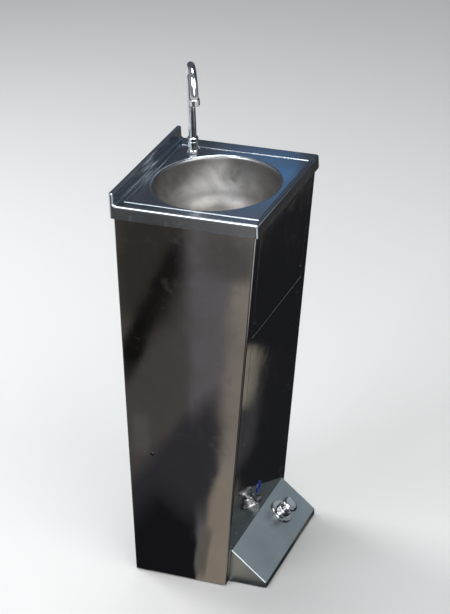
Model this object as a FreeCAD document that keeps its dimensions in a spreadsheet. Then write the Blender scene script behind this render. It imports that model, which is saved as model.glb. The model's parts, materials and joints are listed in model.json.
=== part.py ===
"""Pedestal handwash sink with a foot-pushed valve and a swivel gooseneck spout.

Row frame, in millimetres: +Z up, the floor at Z = 0, the origin under the centre of the rectangular top.
The user stands on the -Y side, the wall is on the +Y side and +X is the user's right.
"""
import FreeCAD, Part
import math
import os
import Sketcher
from FreeCAD import Placement, Rotation, Vector

# ---------------------------------------------------------------- driving dimensions
DIMENSIONS = {
    # top
    "top_width": 350, "top_depth": 310, "rim_height": 850, "apron_height": 28,
    "upstand_height": 25, "upstand_thickness": 10, "sheet": 1.5,
    "rim_radius": 4.5, "corner_radius": 6, "cove_radius": 5, "hem_radius": 2.5,
    "bowl_radius": 128, "bowl_depth": 120, "bowl_x": -13, "bowl_y": -6,
    "bowl_foot_radius": 100, "bowl_floor_radius": 40, "bowl_bend": 58, "bowl_lip": 7, "bowl_fall": 8,
    "bead_radius": 3, "bead_rise": 1.2, "bead_left": -150, "bead_right": 138,
    "bead_front": -147, "bead_back": 131, "bead_corner": 14,
    "drain_hole": 22, "faucet_hole": 11, "faucet_x": 112, "faucet_y": 94,
    # column
    "column_inset": 6, "base_depth": 210, "column_top": 840, "floor_gap": 3,
    "front_flange": 28, "back_flange": 20, "bend": 4, "seam_height": 585, "seam_gap": 1.5,
    "panel_gap": 1, "rail_width": 40, "panel_start": 81.5, "panel_end": 829, "lip_depth": 10.5,
    "screw_hole": 2.1, "screw_head": 4, "screw_x": 130, "back_cutout_width": 200, "back_cutout_height": 125,
    "clip_rail_height": 295, "clip_rail_y": 84.5, "clip_rail_width": 15, "rail_screw_y": 95,
    # pedal housing and foot valve
    "pedal_width": 300, "pedal_height": 80, "pedal_reach": 84, "pedal_lip": 14, "pedal_gap": 0.3,
    "valve_x": 60, "valve_share": 0.42, "barrel": 12.9, "barrel_hole": 13.5,
    "button_radius": 18, "button_shank": 8,
    "port_spread": 35, "port_reach": 26, "inlet_level": -38, "outlet_level": -22.5,
    # plumbing
    "hose_radius": 6, "waste_radius": 16, "waste_wall": 2.4, "outlet_height": 60,
    "thread_radius": 10.48, "connection_end": 146, "inlet_x": 62, "trap_outlet_height": 605,
    "waste_back": 66, "bracket_plate_y": 120, "supply_end": 100, "riser_end": 801, "riser_x": 130,
    "riser_y": 76.8, "trap_radius": 32, "trap_wall": 2.5, "cup_low": 500, "cup_high": 569.5,
    "trap_top": 630, "waste_tail": 545,
    # spout
    "faucet_radius": 11, "faucet_flange": 14.5, "faucet_height": 24, "faucet_shank": 10,
    "spout_radius": 8, "spout_wall": 1.5, "spout_stem": 155, "spout_arch": 47, "spout_heading": 207.6,
    "water_mark_radius": 14.5, "water_mark_x": -8, "water_mark_height": 151,
}

RUNNING_FIT = 0.06
doc = FreeCAD.newDocument("handwash_sink")
sheet_cells = doc.addObject("Spreadsheet::Sheet", "Sizes")
for row, (alias, amount) in enumerate(DIMENSIONS.items(), start=1):
    sheet_cells.set(f"A{row}", alias)
    sheet_cells.set(f"B{row}", str(amount))
    sheet_cells.setAlias(f"B{row}", alias)
doc.recompute()


class Size:
    """A number together with the spreadsheet expression that gives it."""

    def __init__(self, number, text):
        self.number = float(number)
        self.text = text

    def __float__(self):
        return self.number

    def __add__(self, other):
        other = size(other)
        return Size(self.number + other.number, f"({self.text} + {other.text})")

    def __sub__(self, other):
        other = size(other)
        return Size(self.number - other.number, f"({self.text} - {other.text})")

    def __mul__(self, other):
        other = size(other)
        return Size(self.number * other.number, f"({self.text} * {other.text})")

    def __truediv__(self, other):
        other = size(other)
        return Size(self.number / other.number, f"({self.text} / {other.text})")

    def __radd__(self, other):
        return size(other) + self

    def __rsub__(self, other):
        return size(other) - self

    def __rmul__(self, other):
        return size(other) * self

    def __neg__(self):
        return Size(-self.number, f"(0 - {self.text})")


def size(amount):
    """A Size for a Size or a plain number."""
    if isinstance(amount, Size):
        return amount
    return Size(amount, f"({amount})" if amount < 0 else f"{amount}")


class Dimensions:
    """The spreadsheet's cells as Size values, by alias."""

    def __init__(self, table):
        for name, amount in table.items():
            setattr(self, name, Size(amount, f"Sizes.{name}"))


d = Dimensions(DIMENSIONS)
parts = []


# ---------------------------------------------------------------- shared building blocks
def bind(feature, name, amount):
    """Ties a property of a feature to the spreadsheet."""
    amount = size(amount)
    if "Sizes." in amount.text:
        feature.setExpression(name, amount.text)
    else:
        setattr(feature, name, amount.number)


def place(x=0, y=0, z=0, axis=(0, 0, 1), angle=0):
    return Placement(Vector(float(x), float(y), float(z)), Rotation(Vector(*axis), float(angle)))


def keep(feature, label):
    """Names a finished sub-part, which is written to its own file."""
    feature.Label = label
    parts.append(feature)
    return feature


def new_body(label, placement=None):
    body = doc.addObject("PartDesign::Body", label)
    body.Placement = placement or Placement()
    doc.recompute()
    return keep(body, label)


def new_sketch(body, role, offset=0, frame=None):
    """An empty sketch on an origin plane of the body, moved along its normal, or on a frame of its own."""
    plane = [f for f in body.Origin.OriginFeatures if f.Role == role][0]
    sketch = body.newObject("Sketcher::SketchObject", body.Name + "_sketch")
    sketch.AttachmentSupport = [(plane, "")]
    sketch.MapMode = "FlatFace"
    if frame is not None:
        sketch.AttachmentOffset = frame
    elif float(offset):
        sketch.AttachmentOffset = place(0, 0, offset)
        if "Sizes." in size(offset).text:
            sketch.setExpression("AttachmentOffset.Base.z", size(offset).text)
    return sketch


def pin_vertex(sketch, geometry, vertex, x, y):
    """Fixes one point of a sketch at x, y."""
    for kind, axis, amount in (("DistanceX", -2, size(x)), ("DistanceY", -1, size(y))):
        if abs(amount.number) < 1e-9:
            sketch.addConstraint(Sketcher.Constraint("PointOnObject", geometry, vertex, axis))
            continue
        made = sketch.addConstraint(Sketcher.Constraint(kind, -1, 1, geometry, vertex, amount.number))
        if "Sizes." in amount.text:
            sketch.setExpression(f"Constraints[{made}]", amount.text)


def polygon(body, role, points, offset=0, frame=None):
    """A closed outline of straight sides, each corner fixed by the spreadsheet."""
    sketch = new_sketch(body, role, offset, frame)
    corners = [Vector(float(x), float(y), 0) for x, y in points]
    count = len(corners)
    for i in range(count):
        sketch.addGeometry(Part.LineSegment(corners[i], corners[(i + 1) % count]), False)
    for i in range(count):
        sketch.addConstraint(Sketcher.Constraint("Coincident", i, 2, (i + 1) % count, 1))
    for i, (x, y) in enumerate(points):
        pin_vertex(sketch, i, 1, x, y)
    return sketch


def rectangle(body, role, x0, y0, x1, y1, offset=0, frame=None):
    return polygon(body, role, [(x0, y0), (x1, y0), (x1, y1), (x0, y1)], offset, frame)


def circles(body, role, discs, offset=0, frame=None):
    """Circles given as (x, y, radius)."""
    sketch = new_sketch(body, role, offset, frame)
    for x, y, radius in discs:
        centre = Vector(float(x), float(y), 0)
        made = sketch.addGeometry(Part.Circle(centre, Vector(0, 0, 1), float(radius)), False)
        pin_vertex(sketch, made, 3, x, y)
        radius = size(radius)
        tied = sketch.addConstraint(Sketcher.Constraint("Radius", made, radius.number))
        if "Sizes." in radius.text:
            sketch.setExpression(f"Constraints[{tied}]", radius.text)
    return sketch


def pad(body, sketch, length, reverse=False, both_ways=False):
    feature = body.newObject("PartDesign::Pad", body.Name + "_pad")
    feature.Profile = sketch
    bind(feature, "Length", length)
    feature.Reversed = reverse
    if both_ways:
        feature.SideType = "Symmetric"
    doc.recompute()
    return feature


def pocket(body, sketch, length, reverse=False, both_ways=False):
    """Cuts a sketch out of the body, and stops if nothing was cut."""
    before = body.Shape.Volume
    feature = body.newObject("PartDesign::Pocket", body.Name + "_pocket")
    feature.Profile = sketch
    bind(feature, "Length", length)
    feature.Reversed = reverse
    if both_ways:
        feature.SideType = "Symmetric"
    doc.recompute()
    if body.Shape.Volume > before - 1e-3:
        raise RuntimeError(f"{body.Label}: a pocket cut nothing")
    return feature


def round_edges(body, radius, chosen):
    """Rounds the edges that chosen(edge) picks."""
    base = body.Tip
    names = [f"Edge{i + 1}" for i, edge in enumerate(base.Shape.Edges) if chosen(edge)]
    if not names:
        raise RuntimeError(f"{body.Label}: no edge to round")
    feature = body.newObject("PartDesign::Fillet", body.Name + "_round")
    feature.Base = (base, names)
    bind(feature, "Radius", radius)
    doc.recompute()
    return feature


def turned(label, profile, placement=None):
    """A turned piece: the outline's points are (radius, height) about the local Z axis."""
    body = new_body(label, placement)
    sketch = polygon(body, "XZ_Plane", profile)
    feature = body.newObject("PartDesign::Revolution", label + "_turn")
    feature.Profile = sketch
    feature.ReferenceAxis = (sketch, ["V_Axis"])
    feature.Angle = 360
    doc.recompute()
    return body


def ring_profile(inner, outer, low, high):
    return [(inner, low), (outer, low), (outer, high), (inner, high)]


def hex_nut(name, across_flats, height, bore, placement):
    """A plain hexagon nut standing on the local XY plane."""
    prism = doc.addObject("Part::Prism", name + "_hexagon")
    prism.Polygon = 6
    prism.Circumradius = across_flats / math.sqrt(3)
    prism.Height = height
    hole = doc.addObject("Part::Cylinder", name + "_bore")
    hole.Radius = float(bore)
    hole.Height = height
    nut = doc.addObject("Part::Cut", name)
    nut.Base = prism
    nut.Tool = hole
    nut.Placement = placement
    doc.recompute()
    return nut


def copies(label, original, placements):
    """Identical loose pieces kept together: one node holding a separate solid at each place."""
    links = []
    for i, placement in enumerate(placements, start=1):
        link = doc.addObject("App::Link", f"{label}_{i}")
        link.LinkedObject = original
        link.Placement = placement
        links.append(link)
    group = doc.addObject("Part::Compound", label)
    group.Links = links
    doc.recompute()
    return keep(group, label)


def pattern_piece(name, profile):
    """A turned piece that is only used through its copies."""
    body = turned(name, profile)
    parts.remove(body)
    return body


def along(edge, direction, slack=1e-3):
    """True for a straight edge parallel to direction."""
    if not isinstance(edge.Curve, Part.Line):
        return False
    return edge.Curve.Direction.cross(Vector(*direction).normalize()).Length < slack


def middle(edge):
    return edge.valueAt((edge.FirstParameter + edge.LastParameter) / 2)


def near(a, b, slack=0.05):
    return abs(float(a) - float(b)) < slack


# ---------------------------------------------------------------- the column's sloping front
half_column = d.top_width / 2 - d.column_inset
column_back = d.top_depth / 2 - d.column_inset
foot_front = d.base_depth - d.top_depth / 2
apron_bottom = d.rim_height - d.apron_height
slope = (column_back - foot_front) / apron_bottom
lean = math.degrees(math.atan(float(slope)))
stretch = math.hypot(1.0, float(slope))
seam = d.seam_height * stretch
UPPER_SCREWS = [618, 800]
LOWER_SCREWS = [112, 330, 556]


def front_y(height):
    """Y of the column's front face at a height."""
    return -(foot_front + slope * height)


def on_front(x=0, inward=0, up=0, turn=None):
    """A frame on the sloping front: local X to the user's right, Y into the column, Z up the slope."""
    face = Placement(Vector(0, -float(foot_front), 0), Rotation(Vector(1, 0, 0), lean))
    return face * Placement(Vector(float(x), float(inward), float(up)), turn or Rotation())


INTO_COLUMN = Rotation(Vector(1, 0, 0), -90)


# ---------------------------------------------------------------- top
def top_block(name, shrink):
    """The top as a solid block with the bowl hollowed out.

    Shrunk by the sheet's thickness it is the space beneath the sheet.
    """
    body = new_body(name)
    parts.remove(body)
    half_depth = d.top_depth / 2 - shrink
    rim = d.rim_height - shrink
    bowl_floor = d.rim_height - d.bowl_depth - shrink
    bottom = d.rim_height - d.bowl_depth - 20 - shrink
    upstand_front = d.top_depth / 2 - d.upstand_thickness + shrink
    upstand_top = d.rim_height + d.upstand_height - shrink
    outline = [
        (-half_depth, bottom), (-half_depth, rim), (upstand_front, rim),
        (upstand_front, upstand_top), (half_depth, upstand_top), (half_depth, bottom),
    ]
    pad(body, polygon(body, "YZ_Plane", outline), d.top_width - 2 * size(shrink), both_ways=True)

    round_edges(body, d.corner_radius - shrink,
                lambda e: along(e, (0, 0, 1)) and near(abs(middle(e).y), half_depth))
    round_edges(body, d.cove_radius + shrink, lambda e: along(e, (1, 0, 0))
                and near(middle(e).y, upstand_front) and near(middle(e).z, rim))
    round_edges(body, d.rim_radius - shrink, lambda e: near(middle(e).z, rim)
                and e.BoundBox.ZLength < 0.01 and middle(e).y < float(upstand_front) - 1)
    round_edges(body, d.hem_radius - shrink, lambda e: near(middle(e).z, upstand_top)
                and e.BoundBox.ZLength < 0.01)

    radius = d.bowl_radius + shrink
    foot = d.bowl_foot_radius + shrink
    hollow = polygon(body, "XZ_Plane", [
        (d.bowl_x, rim + 5), (d.bowl_x + radius, rim + 5), (d.bowl_x + radius, rim),
        (d.bowl_x + foot, bowl_floor + d.bowl_fall), (d.bowl_x + d.bowl_floor_radius, bowl_floor),
        (d.bowl_x, bowl_floor),
    ], offset=-d.bowl_y)
    groove = body.newObject("PartDesign::Groove", name + "_bowl")
    groove.Profile = hollow
    groove.ReferenceAxis = (hollow, ["Edge6"])
    groove.Angle = 360
    doc.recompute()
    round_edges(body, d.bowl_bend + shrink, lambda e: isinstance(e.Curve, Part.Circle)
                and near(e.Curve.Radius, foot))
    round_edges(body, d.bowl_lip - shrink, lambda e: isinstance(e.Curve, Part.Circle)
                and near(e.Curve.Radius, radius) and near(middle(e).z, rim))
    return body


def make_basin_top():
    """One pressed sheet: deck, apron, hemmed upstand along the wall and a round bowl."""
    outside = top_block("top_outside", size(0))
    underneath = top_block("top_underneath", d.sheet)

    trim = new_body("top_trim")
    parts.remove(trim)
    reach = d.top_width
    below_apron = rectangle(trim, "XY_Plane", -reach, -reach, reach, reach, offset=apron_bottom)
    pad(trim, below_apron, 200, reverse=True)
    clear_of_bowl = d.bowl_radius + d.sheet + 3
    pocket(trim, circles(trim, "XY_Plane", [(d.bowl_x, d.bowl_y, clear_of_bowl)], offset=apron_bottom), 200)

    punches = []
    for x, y, radius in ((d.bowl_x, d.bowl_y, d.drain_hole), (d.faucet_x, d.faucet_y, d.faucet_hole)):
        punch = doc.addObject("Part::Cylinder", "punch")
        bind(punch, "Radius", radius)
        punch.Height = 300
        punch.Placement = place(x, y, 650)
        punches.append(punch)
    tools = doc.addObject("Part::MultiFuse", "top_tools")
    tools.Shapes = [underneath, trim] + punches
    beaded = doc.addObject("Part::Fuse", "top_beaded")
    beaded.Base = outside
    beaded.Tool = make_bead()
    top = doc.addObject("Part::Cut", "basin_sheet")
    top.Base = beaded
    top.Tool = tools
    doc.recompute()
    return keep(top, "basin_top")


def make_bead():
    """The low pressed bead that runs round the bowl and the spout, a rounded rectangle in plan."""
    body = new_body("top_bead")
    parts.remove(body)
    left, right, front, back = d.bead_left, d.bead_right, d.bead_front, d.bead_back
    height = d.rim_height + d.bead_rise - d.bead_radius
    route = new_sketch(body, "XY_Plane", height)
    corners = [(left, front), (right, front), (right, back), (left, back)]
    points = [Vector(float(x), float(y), 0) for x, y in corners]
    for i in range(4):
        route.addGeometry(Part.LineSegment(points[i], points[(i + 1) % 4]), False)
    for i in range(4):
        route.addConstraint(Sketcher.Constraint("Coincident", i, 2, (i + 1) % 4, 1))
    for i, (x, y) in enumerate(corners):
        pin_vertex(route, i, 1, x, y)
    doc.recompute()
    section = circles(body, "XZ_Plane", [(left, height, d.bead_radius)])
    pipe = body.newObject("PartDesign::AdditivePipe", "bead_pipe")
    pipe.Profile = section
    pipe.Spine = route
    pipe.Transition = "Round corner"
    doc.recompute()
    return body


# ---------------------------------------------------------------- column
def make_side_panel(label, side):
    """A folded side panel, its front and back edges returned as flanges. side is -1 on the user's left."""
    body = new_body(label, place(half_column * side, 0, 0))
    low, high = d.floor_gap, d.column_top
    outline = [(front_y(low), low), (column_back, low), (column_back, high), (front_y(high), high)]
    leftward = side > 0
    pad(body, polygon(body, "YZ_Plane", outline), d.front_flange, reverse=leftward)
    round_edges(body, d.bend, lambda e: near(middle(e).x, 0) and e.BoundBox.ZLength > 100)

    slack = 20
    skin = d.sheet * stretch
    inner = [
        (front_y(low - slack) + skin, low - slack), (column_back - d.sheet, low - slack),
        (column_back - d.sheet, high + slack), (front_y(high + slack) + skin, high + slack),
    ]
    inside = d.sheet * -side
    pocket(body, polygon(body, "YZ_Plane", inner, offset=inside), d.front_flange, reverse=not leftward)
    round_edges(body, d.bend - d.sheet, lambda e: near(middle(e).x, inside) and e.BoundBox.ZLength > 100)
    shorten = rectangle(body, "YZ_Plane", column_back - 10, 0, column_back + 10, high + slack,
                        offset=d.back_flange * -side)
    pocket(body, shorten, d.front_flange, reverse=not leftward)
    hole = circles(body, "YZ_Plane", [(d.rail_screw_y, d.clip_rail_height, 2.6)])
    pocket(body, hole, 10, both_ways=True)
    return body


def make_back_panel():
    """A flat sheet behind the back flanges, open at the bottom for the connections."""
    body = new_body("back_panel")
    back = column_back - d.sheet
    half = half_column - 12
    cut = d.back_cutout_width / 2
    low = d.floor_gap + 1.6
    outline = [
        (-half, low), (-cut, low), (-cut, d.back_cutout_height), (cut, d.back_cutout_height),
        (cut, low), (half, low), (half, d.column_top), (-half, d.column_top),
    ]
    pad(body, polygon(body, "XZ_Plane", outline, offset=-back), d.sheet)
    return body


def make_front_rail(label, side):
    """A strip behind the front flange that takes the panel screws."""
    body = new_body(label, on_front(0, d.sheet))
    outer = 160 * size(side)
    inner = outer - d.rail_width * side
    strip = rectangle(body, "XZ_Plane", outer, 85, inner, 825)
    pad(body, strip, d.sheet, reverse=True)
    holes = [(d.screw_x * side, up, 1.75) for up in UPPER_SCREWS + LOWER_SCREWS]
    pocket(body, circles(body, "XZ_Plane", holes), 10, both_ways=True)
    return body


def make_front_panel(label, low, high, lip_low, screws):
    """A flat panel between the front flanges with a folded lip along the seam."""
    body = new_body(label, on_front())
    half = half_column - d.front_flange - d.panel_gap
    pad(body, rectangle(body, "XZ_Plane", -half, low, half, high), d.sheet, reverse=True)
    lip_half = half - 23
    lip = rectangle(body, "XZ_Plane", -lip_half, lip_low, lip_half, lip_low + d.sheet)
    pad(body, lip, d.sheet + d.lip_depth, reverse=True)
    round_edges(body, 1, lambda e: along(e, (1, 0, 0)) and near(middle(e).y, 0)
                and e.Length > 100 and abs(middle(e).z - float(lip_low)) < 2)
    heads = [(d.screw_x * side, up) for side in (-1, 1) for up in screws]
    shanks = circles(body, "XZ_Plane", [(x, up, d.screw_hole) for x, up in heads])
    pocket(body, shanks, 10, both_ways=True)
    sinks = []
    for x, up in heads:
        sink = doc.addObject("Part::Cone", "countersink")
        bind(sink, "Radius1", d.screw_head)
        bind(sink, "Radius2", d.screw_hole)
        sink.Height = float(d.sheet)
        sink.Placement = on_front(x, 0, up, INTO_COLUMN)
        sinks.append(sink)
    cutters = doc.addObject("Part::MultiFuse", label + "_countersinks")
    cutters.Shapes = sinks
    parts.remove(body)
    drilled = doc.addObject("Part::Cut", label + "_sheet")
    drilled.Base = body
    drilled.Tool = cutters
    doc.recompute()
    body.Label = label + "_blank"
    return keep(drilled, label)


def make_front_screws():
    """Countersunk screws with a hexagon socket, flush with the front panels."""
    screw = pattern_piece("countersunk_screw", [
        (0, 1.2), (1.3, 1.2), (1.3, 0), (d.screw_head - 0.1, 0), (d.screw_hole - 0.1, d.sheet),
        (1.7, d.sheet), (1.7, 9), (0, 9),
    ])
    heights = UPPER_SCREWS + LOWER_SCREWS
    spots = [on_front(d.screw_x * side, 0, up, INTO_COLUMN) for side in (-1, 1) for up in heights]
    return copies("front_panel_screws", screw, spots)


def make_back_rivets():
    """Blind rivets through the back flanges and the back panel."""
    rivet = pattern_piece("blind_rivet", [(0, 0), (3.2, 0), (3.2, 0.5), (2, 1.2), (0, 1.2)])
    spots = [place((half_column - 15) * side, column_back, z, (1, 0, 0), -90)
             for side in (-1, 1) for z in (40, 240, 440, 640, 810)]
    return copies("back_rivets", rivet, spots)


def make_base_plate():
    """The floor sheet of the column and the pedal housing, with upturned edges."""
    body = new_body("base_plate")
    half = half_column - d.sheet - 0.1
    wing = d.pedal_width / 2 - d.sheet - 0.1
    inside_front = front_y(0) + 4.2
    nose = -(foot_front + d.pedal_reach) + d.sheet + 0.1
    back = column_back - d.bend
    neck = half_column - d.front_flange - 0.5
    step = front_y(0) - 2
    outline = [
        (-half, inside_front), (-neck, inside_front), (-neck, step), (-wing, step), (-wing, nose),
        (wing, nose), (wing, step), (neck, step), (neck, inside_front),
        (half, inside_front), (half, back), (-half, back),
    ]
    low = d.floor_gap
    pad(body, polygon(body, "XY_Plane", outline, offset=low), d.sheet)
    upturn = 12
    for side in (-1, 1):
        edge = rectangle(body, "XY_Plane", half * side, -45, (half - d.sheet) * side, back - 5, offset=low)
        pad(body, edge, upturn)
    front_edge = rectangle(body, "XY_Plane", -wing + 8, nose, wing - 8, nose + d.sheet, offset=low)
    pad(body, front_edge, 8)
    return body


def make_base_pads():
    """Six rubber discs under the floor sheet."""
    disc = pattern_piece("rubber_pad", [(0, 0), (11, 0), (12, 1), (12, d.floor_gap), (0, d.floor_gap)])
    spots = [place(x * side, y, 0) for side in (-1, 1) for x, y in ((145, 128), (145, -35), (120, -118))]
    return copies("base_pads", disc, spots)


def make_basin_brackets():
    """Four corner angles that hold the top on the side panels."""
    angle = new_body("corner_angle")
    parts.remove(angle)
    leg, drop, thick = 33, 30, 2
    outline = [(0, 0), (leg, 0), (leg, -thick), (thick, -thick), (thick, -drop), (0, -drop)]
    pad(angle, polygon(angle, "XZ_Plane", outline), 34)
    hole = circles(angle, "YZ_Plane", [(-17, -18, 2.2)])
    pocket(angle, hole, 10, both_ways=True)
    under_deck = d.rim_height - d.sheet
    wall = half_column - d.sheet
    spots = [
        place(-wall, -107, under_deck), place(-wall, 143, under_deck),
        place(wall, -141, under_deck, angle=180), place(wall, 109, under_deck, angle=180),
    ]
    return copies("basin_brackets", angle, spots)


# ---------------------------------------------------------------- pedal housing and foot valve
plate_top_y = front_y(d.pedal_height) - d.pedal_gap
plate_low_y = -(foot_front + d.pedal_reach)
plate_run = plate_top_y - plate_low_y
plate_drop = d.pedal_height - d.pedal_lip
plate_tilt = math.degrees(math.atan2(float(plate_drop), float(plate_run)))
plate_stretch = 1 / math.cos(math.radians(plate_tilt))
valve_y = plate_top_y - plate_run * d.valve_share
valve_z = d.pedal_height - plate_drop * d.valve_share


def on_plate(x=0, up_slope=0, out=0, turn=None):
    """A frame at the foot valve: local Z points out of the sloping plate, local Y up the slope."""
    seat = place(d.valve_x, valve_y, valve_z, (1, 0, 0), plate_tilt)
    return seat * Placement(Vector(float(x), float(up_slope), float(out)), turn or Rotation())


def make_pedal_housing():
    """The folded wedge in front of the column: sloping plate, two cheeks and a short front lip."""
    body = new_body("pedal_housing")
    low = d.floor_gap
    outline = [
        (front_y(low) - d.pedal_gap, low), (plate_top_y, d.pedal_height),
        (plate_low_y, d.pedal_lip), (plate_low_y, low),
    ]
    pad(body, polygon(body, "YZ_Plane", outline), d.pedal_width, both_ways=True)
    half = d.pedal_width / 2
    round_edges(body, 4, lambda e: along(e, (0, 0, 1)) and near(middle(e).y, plate_low_y))
    round_edges(body, 3, lambda e: near(middle(e).z, d.pedal_lip) and e.BoundBox.ZLength < 0.01
                or (abs(middle(e).x) > float(half) - 1.5 and 20 < middle(e).z < 70
                    and e.BoundBox.YLength > 30))
    skin = d.sheet
    inner_lip = d.pedal_lip + skin * (plate_drop / plate_run) - skin * plate_stretch
    inner = [
        (front_y(-20) + 20, size(-20)), (front_y(d.pedal_height) + 20, d.pedal_height - 1),
        (plate_top_y, d.pedal_height - skin * plate_stretch), (plate_low_y + skin, inner_lip),
        (plate_low_y + skin, size(-20)),
    ]
    pocket(body, polygon(body, "YZ_Plane", inner), d.pedal_width - skin * 2, both_ways=True)
    bore = circles(body, "XY_Plane", [(0, 0, d.barrel_hole)], frame=on_plate())
    pocket(body, bore, 12, both_ways=True)
    return body


def port_direction(side, out):
    """A frame whose local Z runs out along a port of the foot valve."""
    sideways = Rotation(Vector(0, 0, 1), -float(d.port_spread) * side)
    return on_plate(0, 0, out, sideways * Rotation(Vector(1, 0, 0), -90))


def make_foot_valve():
    """The self-closing valve: a barrel through the plate, its flange, bonnet, nut and seals."""
    guide = d.button_shank + RUNNING_FIT
    chamber, seat_hole, land_top, land_low = 10, 5, -27, -30.5
    cavity_end, body_end = -46, -49
    barrel = turned("valve_barrel", [
        (guide, 12), (d.barrel, 12), (d.barrel, -12), (16, -12), (16, body_end + 1), (15, body_end),
        (0, body_end), (0, cavity_end), (chamber, cavity_end), (chamber, land_low), (seat_hole, land_low),
        (seat_hole, land_top), (chamber, land_top), (chamber, -18), (guide, -18),
    ], on_plate())
    parts.remove(barrel)
    ports, port_bores = [], []
    for name, side, out in (("inlet_port", -1, d.inlet_level), ("outlet_port", 1, d.outlet_level)):
        port_frame = port_direction(side, out)
        port = doc.addObject("Part::Cylinder", name)
        bind(port, "Radius", d.hose_radius)
        bind(port, "Height", d.port_reach)
        port.Placement = port_frame
        ports.append(port)
        bore = doc.addObject("Part::Cylinder", name + "_bore")
        bore.Radius = 4
        bind(bore, "Height", d.port_reach + 5)
        bore.Placement = port_frame
        port_bores.append(bore)
    cavity = turned("valve_cavity", ring_profile(0, chamber, cavity_end, -14), on_plate())
    parts.remove(cavity)
    both_ports = doc.addObject("Part::MultiFuse", "valve_ports")
    both_ports.Shapes = ports
    trimmed = doc.addObject("Part::Cut", "valve_ports_trimmed")
    trimmed.Base = both_ports
    trimmed.Tool = cavity
    shell = doc.addObject("Part::Fuse", "valve_casting")
    shell.Base = barrel
    shell.Tool = trimmed
    bores = doc.addObject("Part::MultiFuse", "valve_port_bores")
    bores.Shapes = port_bores
    valve = doc.addObject("Part::Cut", "valve_body")
    valve.Base = shell
    valve.Tool = bores
    doc.recompute()
    keep(valve, "foot_valve_body")

    turned("foot_valve_gasket", ring_profile(13.6, 24, 0, 1), on_plate())
    turned("foot_valve_flange", [
        (d.barrel + 0.1, 1), (27, 1), (27, 3), (25.5, 4.6), (18, 6), (d.barrel + 0.1, 6),
    ], on_plate())
    turned("foot_valve_bonnet", [
        (d.barrel + 0.05, 6), (16.5, 6), (16.5, 14), (15, 16.5), (12, 17.5), (8.4, 17.5),
        (8.4, 12.1), (d.barrel + 0.05, 12.1),
    ], on_plate())
    keep(hex_nut("valve_nut", 34, 8, d.barrel + 0.05, on_plate(0, 0, -1.5 - 8)), "foot_valve_locknut")

    cap_low, cap_high = 28, 36.5
    turned("foot_button", [
        (0, -16), (d.button_shank, -16), (d.button_shank, cap_low + 1), (d.button_radius - 2, cap_low),
        (d.button_radius, cap_low + 1.5), (d.button_radius, cap_low + 3),
        (d.button_radius - 1.5, cap_high - 3.3), (d.button_radius - 5, cap_high - 1.2),
        (d.button_radius - 10, cap_high - 0.3), (0, cap_high),
    ], on_plate())
    turned("foot_valve_stem", [(0, -35), (2.5, -35), (2.5, -16), (0, -16)], on_plate())
    turned("foot_valve_washer", ring_profile(2.5, 7.5, -34, -30.7), on_plate())
    make_spring(cavity_end, -34)


def make_spring(low, high):
    """The return spring under the valve washer: a round wire wound as a helix."""
    wire = 0.6
    turns = 3
    radius = 5
    length = high - low - 2 * wire - 0.2
    helix = Part.makeHelix(length / turns, length, radius)
    start = Vector(radius, 0, 0)
    section = Part.Wire(Part.makeCircle(wire, start, Vector(0, 1, 0)))
    coil = Part.Wire(helix).makePipeShell([section], True, True)
    spring = doc.addObject("Part::Feature", "foot_valve_spring")
    spring.Shape = coil
    spring.Placement = on_plate(0, 0, low + wire + 0.1)
    keep(spring, "foot_valve_spring")


# ---------------------------------------------------------------- hoses
def rounded_route(points, factor=0.45):
    """Straight runs joined by tangent arcs, each as large as its two runs allow."""
    corners = [Vector(*p) for p in points]
    edges = []
    radii = []
    last = corners[0]
    for i in range(1, len(corners) - 1):
        before, here, after = corners[i - 1], corners[i], corners[i + 1]
        back, ahead = before - here, after - here
        shorter = min(back.Length, ahead.Length)
        back.normalize()
        ahead.normalize()
        turn = math.pi - back.getAngle(ahead)
        reach = factor * shorter
        radii.append(reach / math.tan(turn / 2))
        first, second = here + back * reach, here + ahead * reach
        bisector = (back + ahead).normalize()
        centre = here + bisector * (radii[-1] / math.cos(turn / 2))
        apex = centre + (here - centre).normalize() * radii[-1]
        edges.append(Part.LineSegment(last, first).toShape())
        edges.append(Part.Arc(first, apex, second).toShape())
        last = second
    edges.append(Part.LineSegment(last, corners[-1]).toShape())
    return Part.Wire(edges), radii


def tube(label, points, radius, bore=0.0, factor=0.45):
    """A round tube or solid cord along a route."""
    route, radii = rounded_route(points, factor)
    direction = Vector(*points[1]) - Vector(*points[0])
    outer = Part.Wire(Part.makeCircle(radius, Vector(*points[0]), direction))
    solid = route.makePipeShell([outer], True, False)
    area = math.pi * (radius ** 2 - bore ** 2)
    if bore:
        inner = Part.Wire(Part.makeCircle(bore, Vector(*points[0]), direction))
        solid = solid.cut(route.makePipeShell([inner], True, False))
    print(f"{label}: length {route.Length:.0f}, smallest radius {min(radii):.0f}, "
          f"volume {solid.Volume / (area * route.Length):.4f} of section times length")
    feature = doc.addObject("Part::Feature", label)
    feature.Shape = solid
    return keep(feature, label)


def port_point(side, out, reach):
    """A point on the axis of a port of the foot valve, at a distance from the valve's axis."""
    return tuple((port_direction(side, out) * place(0, 0, reach)).Base)


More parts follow.
